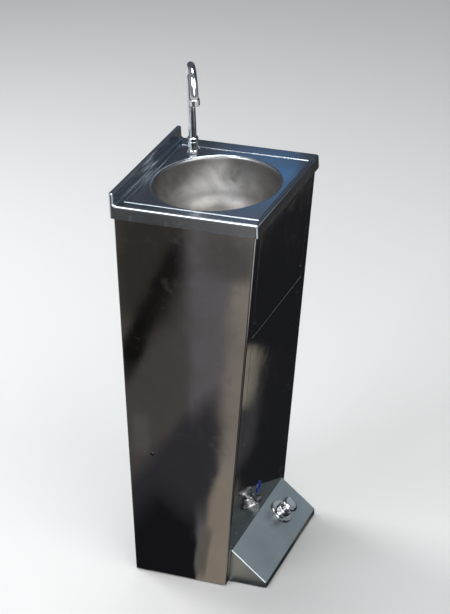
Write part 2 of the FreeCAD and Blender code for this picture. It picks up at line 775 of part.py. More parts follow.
def make_hoses():
    """Two flexible hoses inside the column: connection to valve, and valve to spout."""
    inlet = port_point(-1, d.inlet_level, d.port_reach)
    inlet_on = port_point(-1, d.inlet_level, d.port_reach + 36)
    outlet = port_point(1, d.outlet_level, d.port_reach)
    outlet_on = port_point(1, d.outlet_level, d.port_reach + 42)
    across, level = float(d.inlet_x), float(d.outlet_height)
    supply = [
        inlet, inlet_on, (24, 6, 68), (44, 36, 63), (across, 62, level),
        (across, float(d.supply_end), level),
    ]
    tube("supply_hose", supply, float(d.hose_radius))
    clip = float(d.riser_x), float(d.riser_y)
    faucet = float(d.faucet_x), float(d.faucet_y)
    riser = [
        outlet, outlet_on, (122, -4, 112), (131, 40, 168), (*clip, 235), (clip[0] - 0.1, clip[1], 355),
        (131, 79, 475), (127, 88, 585), (116, 93, 680), (*faucet, 745), (*faucet, float(d.riser_end)),
    ]
    tube("riser_hose", riser, float(d.hose_radius))


def make_hose_ends():
    """Swivel nuts and crimped ferrules at the four hose ends."""
    bore = float(d.hose_radius) + 0.05
    nut = hex_nut("hose_nut", 17, 12, bore, Placement())
    ferrule = pattern_piece("hose_ferrule", ring_profile(bore, 7.6, 0, 12))
    overlap = 7
    frames = [port_direction(side, out) * place(0, 0, d.port_reach - overlap)
              for side, out in ((-1, d.inlet_level), (1, d.outlet_level))]
    frames.append(place(d.inlet_x, d.supply_end + overlap, d.outlet_height, (1, 0, 0), 90))
    frames.append(place(d.faucet_x, d.faucet_y, d.riser_end + overlap, (1, 0, 0), 180))
    copies("hose_nuts", nut, frames)
    copies("hose_ferrules", ferrule, [frame * place(0, 0, 12.1) for frame in frames])


# ---------------------------------------------------------------- connections, waste and trap
def make_connections():
    """The bracket behind the back opening with the threaded water inlet."""
    bracket = new_body("connection_bracket")
    low = d.floor_gap + d.sheet
    plate_y = d.bracket_plate_y
    left, right, top = -50, 95, 96
    upright = rectangle(bracket, "XZ_Plane", left, low, right, top, offset=-plate_y)
    pad(bracket, upright, d.sheet, reverse=True)
    foot = rectangle(bracket, "XY_Plane", left, plate_y, right, plate_y + 20, offset=low)
    pad(bracket, foot, d.sheet)
    holes = [(d.bowl_x, d.outlet_height, d.waste_radius + 0.3), (d.inlet_x, d.outlet_height, 10.7)]
    pocket(bracket, circles(bracket, "XZ_Plane", holes, offset=-plate_y), 20, both_ways=True)

    start = place(d.inlet_x, plate_y, d.outlet_height, (1, 0, 0), -90)
    end = d.connection_end - plate_y
    hose_side, bore = d.supply_end - plate_y, 4.5
    turned("inlet_nipple", [
        (bore, hose_side), (d.hose_radius, hose_side), (d.hose_radius, -4), (14, -4), (14, 0),
        (d.thread_radius, 0), (d.thread_radius, 8), (d.thread_radius - 1, 8.5), (d.thread_radius, 9),
        (d.thread_radius, end - 1), (d.thread_radius - 1, end), (bore, end),
    ], start)
    nut_frame = place(d.inlet_x, plate_y + d.sheet, d.outlet_height, (1, 0, 0), -90)
    keep(hex_nut("inlet_nut", 27, 6, d.thread_radius + 0.02, nut_frame), "inlet_nipple_nut")


def make_waste():
    """Strainer, waste body, bottle trap and the pipe to the back."""
    seat = d.rim_height - d.bowl_depth
    over_drain = place(d.bowl_x, d.bowl_y, 0)
    strainer = turned("drain_strainer", [
        (3.2, seat - 3), (20, seat - 3), (21.3, seat - 1), (21.3, seat), (36, seat), (36, seat + 0.8),
        (33, seat + 2), (24, seat + 2), (20, seat), (3.2, seat),
    ], over_drain)
    ring = [(radius * math.cos(math.radians(a)), radius * math.sin(math.radians(a)), 1.8)
            for radius, step in ((8, 60), (14.5, 30)) for a in range(0, 360, step)]
    pocket(strainer, circles(strainer, "XY_Plane", ring, offset=seat + 5), 20)
    turned("strainer_screw", [
        (0, seat - 16), (3, seat - 16), (3, seat), (5.5, seat), (5.5, seat + 0.8), (3.5, seat + 2),
        (0, seat + 2),
    ], over_drain)
    under = seat - d.sheet
    turned("drain_gasket", ring_profile(24, 34, under - 2, under), over_drain)
    tail, tail_bore = d.waste_radius, d.waste_radius - 2
    waste = turned("waste_body", [
        (22, under - 2), (34, under - 2), (34, under - 5), (25, under - 6), (25, under - 24),
        (tail, under - 38), (tail, d.waste_tail), (tail_bore, d.waste_tail), (tail_bore, under - 38),
        (22, under - 24),
    ], over_drain)
    bridge = rectangle(waste, "XY_Plane", -23, -4, 23, 4, offset=under - 16)
    pad(waste, bridge, 4, reverse=False)
    pocket(waste, circles(waste, "XY_Plane", [(0, 0, 3.1)], offset=under - 10), 12)

    outlet = d.trap_outlet_height
    shell, inside, socket = d.trap_radius, d.trap_radius - d.trap_wall, d.waste_radius + 0.1
    joint, top = d.cup_high + 0.5, d.trap_top
    collar = top + 15
    head = turned("trap_head_shell", [
        (inside, joint), (shell, joint), (shell, top - 3), (shell - 3, top), (21, top), (21, collar),
        (socket, collar), (socket, top - d.trap_wall), (inside, top - d.trap_wall),
    ], over_drain)
    parts.remove(head)
    nozzle_start, nozzle_end = 22, 34
    nozzle = doc.addObject("Part::Cylinder", "trap_nozzle")
    nozzle.Radius = 19
    nozzle.Height = nozzle_end - nozzle_start
    nozzle.Placement = place(d.bowl_x, nozzle_start, outlet, (1, 0, 0), -90)
    nozzle_bore = doc.addObject("Part::Cylinder", "trap_nozzle_bore")
    bind(nozzle_bore, "Radius", socket)
    nozzle_bore.Height = 20
    nozzle_bore.Placement = place(d.bowl_x, nozzle_start - 4, outlet, (1, 0, 0), -90)
    core = doc.addObject("Part::Cylinder", "trap_core")
    bind(core, "Radius", inside)
    core.Height = 50
    core.Placement = place(d.bowl_x, d.bowl_y, joint + 2)
    stub = doc.addObject("Part::Cut", "trap_stub")
    stub.Base = nozzle
    stub.Tool = core
    casting = doc.addObject("Part::Fuse", "trap_casting")
    casting.Base = head
    casting.Tool = stub
    trap = doc.addObject("Part::Cut", "trap")
    trap.Base = casting
    trap.Tool = nozzle_bore
    doc.recompute()
    keep(trap, "trap_body")
    low, high = d.cup_low, d.cup_high
    turned("trap_cup", [
        (0, low), (shell - 4, low), (shell, low + 6), (shell, high), (inside, high), (inside, low + 8),
        (inside - 3, low + 3), (0, low + 3),
    ], over_drain)
    turned("trap_cup_nut", ring_profile(shell + 0.1, 36, joint - 10, joint + 12), over_drain)
    turned("trap_inlet_nut", ring_profile(socket, 24, collar, collar + 15), over_drain)
    turned("trap_outlet_nut", ring_profile(socket, 23, 0, 9),
           place(d.bowl_x, nozzle_end, outlet, (1, 0, 0), -90))

    x, back = float(d.bowl_x), float(d.waste_back)
    corners = [(x, 30, outlet), (x, back, outlet), (x, back, d.outlet_height),
               (x, d.connection_end, d.outlet_height)]
    waste_pipe(corners)


def waste_pipe(corners):
    """The bent waste pipe: a tight elbow at the trap and a wide one at the floor, ending as a spigot."""
    corners = [Vector(*[float(c) for c in corner]) for corner in corners]
    start, upper, lower, end = corners
    bends = ((upper, Vector(0, -1, 0), Vector(0, 0, -1), 22), (lower, Vector(0, 0, 1), Vector(0, 1, 0), 40))
    edges, last = [], start
    for corner, back, ahead, radius in bends:
        first, second = corner + back * radius, corner + ahead * radius
        centre = corner + (back + ahead) * radius
        apex = centre + (corner - centre).normalize() * radius
        edges += [Part.LineSegment(last, first).toShape(), Part.Arc(first, apex, second).toShape()]
        last = second
    edges.append(Part.LineSegment(last, end).toShape())
    route = Part.Wire(edges)
    outer, wall = float(d.waste_radius), float(d.waste_wall)
    shells = [route.makePipeShell([Part.Wire(Part.makeCircle(radius, start, Vector(0, 1, 0)))], True, False)
              for radius in (outer, outer - wall)]
    stop_start = end - Vector(0, 23, 0)
    stop = Part.makeCylinder(outer + 1.4, 3, stop_start, Vector(0, 1, 0))
    pipe = doc.addObject("Part::Feature", "waste_pipe")
    pipe.Shape = shells[0].fuse(stop).cut(shells[1])
    keep(pipe, "waste_pipe")


def make_clip_rail():
    """A flat bar between the side panels that carries the waste pipe and the riser hose."""
    body = new_body("clip_rail")
    half = half_column - d.sheet - 0.1
    low, high = d.clip_rail_height - d.clip_rail_width / 2, d.clip_rail_height + d.clip_rail_width / 2
    front = d.clip_rail_y
    pad(body, rectangle(body, "XZ_Plane", -half, low, half, high, offset=-front), d.sheet, reverse=True)
    for side in (-1, 1):
        tab = rectangle(body, "YZ_Plane", front, low, front + 22, high, offset=(half - d.sheet) * side)
        pad(body, tab, d.sheet, reverse=side < 0)
    hole = circles(body, "YZ_Plane", [(d.rail_screw_y, d.clip_rail_height, 2.5)])
    pocket(body, hole, 2 * half_column + 10, both_ways=True)

    screw = pattern_piece("rail_screw", [
        (0, -2.6), (2.6, -2.4), (4.5, -1), (4.5, 0), (2.4, 0), (2.4, 9), (0, 9),
    ])
    spots = [place(half_column * side, d.rail_screw_y, d.clip_rail_height, (0, 1, 0), -90 * side)
             for side in (-1, 1)]
    copies("rail_screws", screw, spots)

    made = []
    for name, x, y, radius in (("waste_clip", d.bowl_x, d.waste_back, d.waste_radius),
                               ("riser_clip", d.riser_x, d.riser_y, d.hose_radius)):
        outer = float(front) - float(y) - 0.05
        clip = turned(name, ring_profile(radius + 0.1, outer, low, high), place(x, y, 0))
        parts.remove(clip)
        made.append(clip)
    group = doc.addObject("Part::Compound", "clips")
    group.Links = made
    doc.recompute()
    keep(group, "pipe_clips")


# ---------------------------------------------------------------- faucet
def make_faucet():
    """The deck-mounted swivel spout: base, shank, washer and nut under the deck, and the gooseneck above."""
    deck = place(d.faucet_x, d.faucet_y, d.rim_height)
    socket = d.spout_radius + RUNNING_FIT
    wall, flange, shank = d.faucet_radius, d.faucet_flange, d.faucet_shank
    top = d.faucet_height
    recess, gasket = top - 3, 1.5
    turned("faucet_gasket", ring_profile(d.faucet_hole, flange, 0, gasket), deck)
    turned("faucet_body", [
        (4, -49), (6, -49), (6, -30), (shank, -30), (shank, gasket), (flange, gasket),
        (flange, gasket + 1.3), (wall + 1.6, gasket + 3), (wall + 0.4, gasket + 5), (wall, gasket + 8),
        (wall, top - 0.6), (wall - 0.4, top), (9.85, top), (9.85, recess), (socket, recess),
        (socket, 10), (5, 9), (4, 4),
    ], deck)
    turned("faucet_washer", ring_profile(shank + 0.2, 18, -3.5, -1.5), deck)
    keep(hex_nut("faucet_nut", 27, 8, shank + 0.05, deck * place(0, 0, -11.5)), "faucet_locknut")
    turned("spout_seal", ring_profile(socket, 9.8, recess, top), deck)
    turned("spout_nut", [
        (socket, top), (wall - 0.4, top), (wall + 0.5, top + 0.8), (wall + 0.5, top + 7),
        (wall - 0.7, top + 8.8), (wall - 2, top + 9.6), (socket, top + 9.6),
    ], deck)

    frame = deck * place(0, 0, 0, angle=d.spout_heading)
    spout = new_body("spout", frame)
    stem_low = 12
    path = new_sketch(spout, "XZ_Plane")
    stem, arch = float(d.spout_stem), float(d.spout_arch)
    path.addGeometry(Part.LineSegment(Vector(0, stem_low, 0), Vector(0, stem, 0)), False)
    crown = Part.Circle(Vector(arch, stem, 0), Vector(0, 0, 1), arch)
    path.addGeometry(Part.ArcOfCircle(crown, 0, math.pi), False)
    path.addGeometry(Part.LineSegment(Vector(2 * arch, stem, 0), Vector(2 * arch, stem - 6, 0)), False)
    pin_vertex(path, 0, 1, 0, stem_low)
    pin_vertex(path, 0, 2, 0, d.spout_stem)
    pin_vertex(path, 1, 3, d.spout_arch, d.spout_stem)
    path.addConstraint(Sketcher.Constraint("Coincident", 1, 2, 0, 2))
    path.addConstraint(Sketcher.Constraint("Coincident", 1, 1, 2, 1))
    level = path.addConstraint(Sketcher.Constraint("DistanceY", -1, 1, 2, 1, stem))
    path.setExpression(f"Constraints[{level}]", d.spout_stem.text)
    pin_vertex(path, 2, 2, d.spout_arch * 2, d.spout_stem - 6)
    doc.recompute()
    section = circles(spout, "XY_Plane", [(0, 0, d.spout_radius)], offset=stem_low)
    pipe = spout.newObject("PartDesign::AdditivePipe", "spout_tube")
    pipe.Profile = section
    pipe.Spine = path
    doc.recompute()
    bore = circles(spout, "XY_Plane", [(0, 0, d.spout_radius - d.spout_wall)], offset=stem_low)
    hollow = spout.newObject("PartDesign::SubtractivePipe", "spout_bore")
    hollow.Profile = bore
    hollow.Spine = path
    doc.recompute()

    tip = frame * place(2 * d.spout_arch, 0, d.spout_stem)
    turned("aerator_housing", [
        (7.2, -15), (9.2, -15), (10.2, -14), (10.2, -2.5), (9.4, -1), (d.spout_radius + 0.02, -1),
        (d.spout_radius + 0.02, -6), (7.2, -6),
    ], tip)
    insert = turned("aerator_insert", [(0, -13.5), (7.1, -13.5), (7.1, -7), (0, -7)], tip)
    jets = [(r * math.cos(math.radians(a)), r * math.sin(math.radians(a)), 0.8)
            for r, step in ((2.2, 120), (4.8, 45)) for a in range(0, 360, step)]
    pocket(insert, circles(insert, "XY_Plane", jets, offset=-5), 12)


def make_water_mark():
    """A plain blue disc stuck on the lower front panel above the pedal."""
    up = d.water_mark_height * stretch
    turned("water_mark", [
        (0, 0), (d.water_mark_radius, 0), (d.water_mark_radius, 0.8), (d.water_mark_radius - 1, 1.6),
        (0, 2),
    ], on_front(d.water_mark_x, 0, up, Rotation(Vector(1, 0, 0), 90)))


# ---------------------------------------------------------------- assembly
make_basin_top()
make_side_panel("left_side_panel", -1)
make_side_panel("right_side_panel", 1)
make_back_panel()
make_back_rivets()
make_front_rail("left_front_rail", -1)
make_front_rail("right_front_rail", 1)
seam_top = seam + d.seam_gap / 2
seam_bottom = seam - d.seam_gap / 2
make_front_panel("upper_front_panel", seam_top, d.panel_end, seam_top, UPPER_SCREWS)
make_front_panel("lower_front_panel", d.panel_start, seam_bottom, seam_bottom - d.sheet, LOWER_SCREWS)
make_front_screws()
make_base_plate()
make_base_pads()
make_basin_brackets()
make_pedal_housing()
make_foot_valve()
make_hoses()
make_hose_ends()
make_connections()
make_waste()
make_clip_rail()
make_faucet()
make_water_mark()
doc.recompute()

for feature in doc.Objects:
    if "Invalid" in feature.State or "Error" in feature.State:
        raise RuntimeError(f"{feature.Name} failed: {feature.State}")
for part in parts:
    if part.Shape.isNull() or not part.Shape.isValid() or not part.Shape.Solids:
        raise RuntimeError(f"{part.Label} has no valid solid")
os.makedirs("parts", exist_ok=True)
for part in parts:
    part.Shape.exportStep(os.path.join("parts", part.Label + ".step"))
print(len(parts), "sub-parts written")
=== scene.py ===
import json
import math

import bpy
from mathutils import Matrix, Vector


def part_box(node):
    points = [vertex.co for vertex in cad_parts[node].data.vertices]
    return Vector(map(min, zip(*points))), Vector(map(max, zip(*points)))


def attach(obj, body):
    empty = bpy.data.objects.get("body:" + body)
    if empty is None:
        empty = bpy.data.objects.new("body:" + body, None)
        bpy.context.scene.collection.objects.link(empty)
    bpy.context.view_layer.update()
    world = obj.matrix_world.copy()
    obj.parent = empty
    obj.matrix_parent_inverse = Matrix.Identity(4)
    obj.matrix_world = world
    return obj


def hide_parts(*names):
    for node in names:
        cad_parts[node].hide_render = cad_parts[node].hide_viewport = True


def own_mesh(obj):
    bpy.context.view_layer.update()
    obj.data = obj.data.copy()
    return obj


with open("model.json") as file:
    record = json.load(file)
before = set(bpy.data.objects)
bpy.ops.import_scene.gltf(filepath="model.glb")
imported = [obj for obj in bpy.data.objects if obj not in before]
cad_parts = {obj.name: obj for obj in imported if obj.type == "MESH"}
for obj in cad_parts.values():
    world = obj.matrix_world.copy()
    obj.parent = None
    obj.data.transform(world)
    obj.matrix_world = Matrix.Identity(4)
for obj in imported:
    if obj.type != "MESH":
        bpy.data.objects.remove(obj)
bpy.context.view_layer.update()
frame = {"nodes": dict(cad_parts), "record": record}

# Portable handwash sink: finishes for the CAD nodes, one own spring, a studio and the photo's camera.
# Lengths are in metres. x runs to the right of someone facing the sink, y to its back and z up.

nodes = frame["nodes"]
scene = bpy.context.scene


# ---------------------------------------------------------------- material graph
class Graph:
    """A material's node tree, with one method for each kind of node or sum that is used often."""

    def __init__(self, material):
        self.material = material
        self.material.use_nodes = True
        self.tree = self.material.node_tree
        self.shader = self.tree.nodes["Principled BSDF"]
        self.place = self.add("ShaderNodeTexCoord").outputs["Object"]
        self.normal = None

    def add(self, kind, **settings):
        node = self.tree.nodes.new(kind)
        for key, value in settings.items():
            setattr(node, key, value)
        return node

    def put(self, socket, value):
        """Link another socket to this one, or set this one's number or colour."""
        if isinstance(value, bpy.types.NodeSocket):
            self.tree.links.new(value, socket)
        else:
            socket.default_value = value

    def stretch(self, scale, turn=(0, 0, 0)):
        """The object's own coordinates, turned and stretched."""
        node = self.add("ShaderNodeMapping")
        self.put(node.inputs["Vector"], self.place)
        node.inputs["Rotation"].default_value = [math.radians(a) for a in turn]
        node.inputs["Scale"].default_value = scale
        return node.outputs[0]

    def noise(self, scale, detail=3.0, rough=0.5, at=None, twist=0.0):
        node = self.add("ShaderNodeTexNoise")
        self.put(node.inputs["Vector"], at or self.place)
        node.inputs["Scale"].default_value = scale
        node.inputs["Detail"].default_value = detail
        node.inputs["Roughness"].default_value = rough
        node.inputs["Distortion"].default_value = twist
        return node.outputs["Fac"]

    def band(self, value, low, high, to_low=0.0, to_high=1.0):
        """The value's stretch from low to high, spread over a new range."""
        node = self.add("ShaderNodeMapRange")
        self.put(node.inputs["Value"], value)
        ends = {"From Min": low, "From Max": high, "To Min": to_low, "To Max": to_high}
        for key, number in ends.items():
            node.inputs[key].default_value = number
        return node.outputs[0]

    def calc(self, kind, a, b):
        node = self.add("ShaderNodeMath", operation=kind)
        self.put(node.inputs[0], a)
        self.put(node.inputs[1], b)
        return node.outputs[0]

    def weigh(self, a, a_weight, b, b_weight):
        """The sum of two values, each times its own weight."""
        return self.calc("ADD", self.calc("MULTIPLY", a, a_weight), self.calc("MULTIPLY", b, b_weight))

    def distance(self, a, b):
        """The length of the line with these two legs."""
        return self.calc("SQRT", self.weigh(a, a, b, b), 0.0)

    def blend(self, factor, a, b):
        node = self.add("ShaderNodeMix", data_type="RGBA")
        self.put(node.inputs[0], factor)
        self.put(node.inputs[6], rgba(a))
        self.put(node.inputs[7], rgba(b))
        return node.outputs[2]

    def bump(self, height, distance, strength=1.0):
        node = self.add("ShaderNodeBump")
        self.put(node.inputs["Height"], height)
        node.inputs["Distance"].default_value = distance
        node.inputs["Strength"].default_value = strength
        if self.normal is not None:
            self.put(node.inputs["Normal"], self.normal)
        self.normal = node.outputs[0]
        self.put(self.shader.inputs["Normal"], self.normal)

    def soft_edges(self, radius):
        """Shade sharp edges as if they were rounded. It comes before any bump."""
        node = self.add("ShaderNodeBevel", samples=4)
        node.inputs["Radius"].default_value = radius
        self.normal = node.outputs[0]
        self.put(self.shader.inputs["Normal"], self.normal)


def rgba(value):
    """A colour with its fourth number. A socket stays as it is."""
    if isinstance(value, (tuple, list)):
        return (*value, 1.0) if len(value) == 3 else value
    return value


def steel(name, colour, rough, grain=(900, 900, 9), wave=0.0012, smudge=0.10, tint=None):
    """Rolled stainless sheet: fine grain along one axis, slight waves, smudges, hairline scratches."""
    g = Graph(bpy.data.materials.new(name))
    fine = g.noise(1.0, 2.0, at=g.stretch(grain))
    broad = g.noise(1.0, 3.0, at=g.stretch([a * 0.12 for a in grain]))
    patches = g.noise(7.0, 5.0, 0.6, twist=0.4)
    fingers = g.band(g.noise(24.0, 4.0, 0.55, twist=0.8), 0.56, 0.72)
    scratch_a = g.band(g.noise(1.0, 1.0, at=g.stretch((26, 620, 95), (18, 31, 12))), 0.70, 0.74)
    scratch_b = g.band(g.noise(1.0, 1.0, at=g.stretch((410, 30, 130), (-24, 11, 40))), 0.71, 0.75)
    scratches = g.calc("MAXIMUM", scratch_a, scratch_b)
    other = tint or [c * 0.78 for c in colour]
    tone = g.blend(g.band(patches, 0.35, 0.70), colour, other)
    tone = g.blend(g.band(broad, 0.30, 0.75, 0.0, 0.35), tone, [c * 0.86 for c in colour])
    tone = g.blend(g.calc("MULTIPLY", scratches, 0.10), tone, [min(1.0, c * 1.25) for c in colour])
    g.put(g.shader.inputs["Base Color"], tone)
    g.shader.inputs["Metallic"].default_value = 1.0
    level = g.band(fine, 0.25, 0.75, rough * 0.85, rough * 1.18)
    level = g.calc("ADD", level, g.calc("MULTIPLY", fingers, smudge))
    level = g.calc("ADD", level, g.calc("MULTIPLY", scratches, 0.05))
    level = g.calc("ADD", level, g.band(patches, 0.3, 0.7, -0.02, 0.05))
    g.put(g.shader.inputs["Roughness"], level)
    g.soft_edges(0.0006)
    g.bump(g.noise(5.5, 2.0), wave, 0.6)
    g.bump(fine, 0.00002, 0.5)
    g.bump(scratches, 0.000008, 0.3)
    return g.material


def chrome(name, colour):
    """Bright plate with water spots and faint wiping marks."""
    g = Graph(bpy.data.materials.new(name))
    spots = g.band(g.noise(170.0, 2.0), 0.66, 0.72)
    wipe = g.noise(1.0, 4.0, at=g.stretch((60, 60, 14)))
    tone = g.blend(g.band(wipe, 0.3, 0.75), colour, [c * 0.86 for c in colour])
    g.put(g.shader.inputs["Base Color"], tone)
    g.shader.inputs["Metallic"].default_value = 1.0
    level = g.calc("ADD", g.band(wipe, 0.3, 0.7, 0.04, 0.10), g.calc("MULTIPLY", spots, 0.16))
    g.put(g.shader.inputs["Roughness"], level)
    g.soft_edges(0.0004)
    g.bump(spots, 0.00003, 0.5)
    return g.material


def machined(name, colour, rough):
    """Turned or milled metal with tool lines and a little tarnish."""
    g = Graph(bpy.data.materials.new(name))
    lines = g.noise(1.0, 1.0, at=g.stretch((90, 90, 2600)))
    stain = g.noise(60.0, 5.0, 0.6)
    tone = g.blend(g.band(stain, 0.4, 0.7), colour, [c * 0.62 for c in colour])
    g.put(g.shader.inputs["Base Color"], tone)
    g.shader.inputs["Metallic"].default_value = 1.0
    g.put(g.shader.inputs["Roughness"], g.band(stain, 0.3, 0.7, rough * 0.8, rough * 1.3))
    g.soft_edges(0.0003)
    g.bump(lines, 0.00003, 0.5)
    return g.material


def moulded(name, colour, rough, coat=0.0):
    """Moulded plastic: fine grain, faint flow lines, scuffs and dust."""
    g = Graph(bpy.data.materials.new(name))
    fine = g.noise(900.0, 2.0)
    flow = g.noise(1.0, 3.0, at=g.stretch((30, 30, 9)), twist=0.6)
    scuff = g.band(g.noise(1.0, 2.0, at=g.stretch((50, 700, 120), (20, 35, 10))), 0.68, 0.74)
    tone = g.blend(g.band(flow, 0.35, 0.7), colour, [c * 0.88 for c in colour])
    tone = g.blend(g.calc("MULTIPLY", scuff, 0.3), tone, [min(1.0, c * 1.3 + 0.04) for c in colour])
    g.put(g.shader.inputs["Base Color"], tone)
    g.put(g.shader.inputs["Roughness"], g.band(flow, 0.3, 0.7, rough * 0.88, rough * 1.12))
    g.shader.inputs["Coat Weight"].default_value = coat
    g.soft_edges(0.0004)
    g.bump(fine, 0.00004, 0.35)
    return g.material


def rubber(name):
    """Matt black rubber with a dusty bloom."""
    g = Graph(bpy.data.materials.new(name))
    bloom = g.noise(90.0, 5.0, 0.65)
    tone = g.blend(g.band(bloom, 0.4, 0.75), (0.018, 0.018, 0.018), (0.055, 0.053, 0.05))
    g.put(g.shader.inputs["Base Color"], tone)
    g.put(g.shader.inputs["Roughness"], g.band(bloom, 0.3, 0.7, 0.62, 0.85))
    g.bump(g.noise(1400.0, 2.0), 0.00005, 0.5)
    return g.material


def braided(name):
    """Stainless braid: two crossing sets of fine diagonal strands."""
    g = Graph(bpy.data.materials.new(name))
    sets = []
    for lean in (38, -38):
        node = g.add("ShaderNodeTexWave", wave_type="BANDS", bands_direction="X")
        g.put(node.inputs["Vector"], g.stretch((1, 1, 1), (0, lean, lean)))
        node.inputs["Scale"].default_value = 170.0
        node.inputs["Distortion"].default_value = 0.6
        sets.append(node.outputs["Fac"])
    weave = g.calc("MAXIMUM", *sets)
    tone = g.blend(g.band(weave, 0.2, 0.9), (0.07, 0.07, 0.075), (0.64, 0.65, 0.66))
    g.put(g.shader.inputs["Base Color"], tone)
    g.shader.inputs["Metallic"].default_value = 0.9
    g.put(g.shader.inputs["Roughness"], g.band(weave, 0.0, 1.0, 0.6, 0.26))
    g.bump(weave, 0.0005, 0.8)
    return g.material


# ---------------------------------------------------------------- finishes of the CAD nodes
BOWL_RADIUS = 0.131, 0.126        # the satin finish comes in between these distances from the drain
BOWL_TOP = 0.8495, 0.847          # and between these heights
BOWL_BOTTOM = 0.775, 0.745        # the metal turns darker between these heights, towards the bottom: painted shade
PAINTED_HIGHLIGHT_FOOT = 0.752, 0.784          # the painted highlight (a pale patch on the bowl's wall) comes in between these heights
PAINTED_HIGHLIGHT_HEAD = 0.838, 0.796          # and goes out between these
PAINTED_HIGHLIGHT_PLACE = 0.075, 0.045         # where it is brightest: x and y from the drain
PAINTED_HIGHLIGHT_REACH = 0.120, 0.040         # and how far it fades out round there
PAINTED_HIGHLIGHT_THIN = 0.15                  # what is left of it further away


def satin_bowl(material):
    """Make the inside of the bowl satin and warmer than the deck, darker towards the bottom as painted
    shade, with a pale patch of painted highlight on one side.
    """
    g = Graph(material)
    low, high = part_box("drain_strainer")
    drain = (low + high) / 2
    split = g.add("ShaderNodeSeparateXYZ")
    g.put(split.inputs[0], g.place)
    x, y, z = split.outputs
    dx = g.calc("SUBTRACT", x, drain.x)
    dy = g.calc("SUBTRACT", y, drain.y)
    inside = g.calc("MULTIPLY", g.band(g.distance(dx, dy), *BOWL_RADIUS), g.band(z, *BOWL_TOP))
    streaks = g.noise(1.0, 4.0, at=g.stretch((16, 16, 16)), twist=1.2)
    metal = g.blend(g.band(streaks, 0.35, 0.7), (0.23, 0.221, 0.214), (0.15, 0.140, 0.132))
    # Darker towards the bottom of the bowl: painted shade.
    metal = g.blend(g.band(z, *BOWL_BOTTOM), metal, (0.165, 0.154, 0.146))
    # A painted highlight: a pale patch in a ring of heights on the bowl's wall, brightest round one
    # place.
    spread = g.distance(g.calc("SUBTRACT", dx, PAINTED_HIGHLIGHT_PLACE[0]), g.calc("SUBTRACT", dy, PAINTED_HIGHLIGHT_PLACE[1]))
    ring = g.calc("MULTIPLY", g.band(z, *PAINTED_HIGHLIGHT_FOOT), g.band(z, *PAINTED_HIGHLIGHT_HEAD))
    ring = g.calc("MULTIPLY", ring, g.band(spread, *PAINTED_HIGHLIGHT_REACH, PAINTED_HIGHLIGHT_THIN, 1.0))
    painted_highlight = g.calc("MULTIPLY", ring, g.band(g.noise(13.0, 4.0, 0.6, twist=0.7), 0.28, 0.56))
    # Blend in the pale colour of the painted highlight.
    metal = g.blend(painted_highlight, metal, (0.66, 0.655, 0.65))
    colour = g.shader.inputs["Base Color"].links[0].from_socket
    g.put(g.shader.inputs["Base Color"], g.blend(inside, colour, metal))
    level = g.shader.inputs["Roughness"].links[0].from_socket
    satin = g.calc("ADD", g.band(streaks, 0.3, 0.7, 0.34, 0.44), g.calc("MULTIPLY", painted_highlight, 0.08))
    level = g.weigh(level, g.calc("SUBTRACT", 1.0, inside), satin, inside)
    g.put(g.shader.inputs["Roughness"], level)
    return material


looks = {
    "stainless_top": satin_bowl(steel("stainless_top", (0.54, 0.58, 0.62), 0.15, grain=(9, 900, 900),
                                      wave=0.0005, tint=(0.42, 0.46, 0.50))),
    "pedal_plate": steel("pedal_plate", (0.46, 0.51, 0.53), 0.34, grain=(9, 700, 700), wave=0.0004),
    "stainless_panel": steel("stainless_panel", (0.50, 0.49, 0.47), 0.055, wave=0.0010, smudge=0.07,
                             tint=(0.43, 0.41, 0.385)),
    "stainless_inner": steel("stainless_inner", (0.46, 0.46, 0.46), 0.28, smudge=0.06),
    "chrome": chrome("chrome", (0.64, 0.65, 0.675)),
    "brass": machined("brass", (0.70, 0.52, 0.26), 0.30),
    "steel": machined("steel", (0.52, 0.52, 0.53), 0.30),
    "blackened_steel": machined("blackened_steel", (0.05, 0.05, 0.052), 0.42),
    "braid": braided("braid"),
    "black_rubber": rubber("black_rubber"),
    "white_plastic": moulded("white_plastic", (0.80, 0.80, 0.77), 0.42),
    "black_plastic": moulded("black_plastic", (0.03, 0.03, 0.034), 0.45),
    "blue_plastic": moulded("blue_plastic", (0.004, 0.022, 0.20), 0.22, coat=0.6),
}
own_look = {  # nodes that look unlike the others of their slot
    "pedal_housing": "pedal_plate", "front_panel_screws": "stainless_panel",
    "rail_screws": "blackened_steel",
}
for entry in frame["record"]["subparts"]:
    mesh = nodes[entry["node"]].data
    mesh.materials.clear()
    mesh.materials.append(looks[own_look.get(entry["node"], entry["material_slot"])])


# ---------------------------------------------------------------- return spring of the foot valve
SPRING_DROP = 0.0204              # from the middle of the stem down to the spring's foot
SPRING_LENGTH = 0.0117
SPRING_RADIUS = 0.005             # to the middle of the wire
SPRING_WIRE = 0.0006              # radius of the wire
SPRING_TURNS = 4


def coil(name, low, axis, length, radius, wire, turns):
    """A round wire wound as a helix, standing on the point low."""
    side = axis.cross(Vector((1, 0, 0))).normalized()
    other = axis.cross(side)
    per_turn, ring = 30, 10
    steps = per_turn * turns
    points = []
    for i in range(steps + 1):
        angle = 2 * math.pi * turns * i / steps
        outward = side * math.cos(angle) + other * math.sin(angle)
        centre = low + axis * (wire + (length - 2 * wire) * i / steps) + outward * radius
        for k in range(ring):
            around = 2 * math.pi * k / ring
            points.append(centre + (outward * math.cos(around) + axis * math.sin(around)) * wire)
    faces = []
    for start in range(0, steps * ring, ring):
        for k in range(ring):
            after = (k + 1) % ring
            faces.append((start + k, start + after, start + ring + after, start + ring + k))
    faces += [tuple(reversed(range(ring))), tuple(range(steps * ring, (steps + 1) * ring))]
    mesh = bpy.data.meshes.new(name)
    mesh.from_pydata(points, [], faces)
    mesh.shade_smooth()
    item = bpy.data.objects.new(name, mesh)
    scene.collection.objects.link(item)
    return item


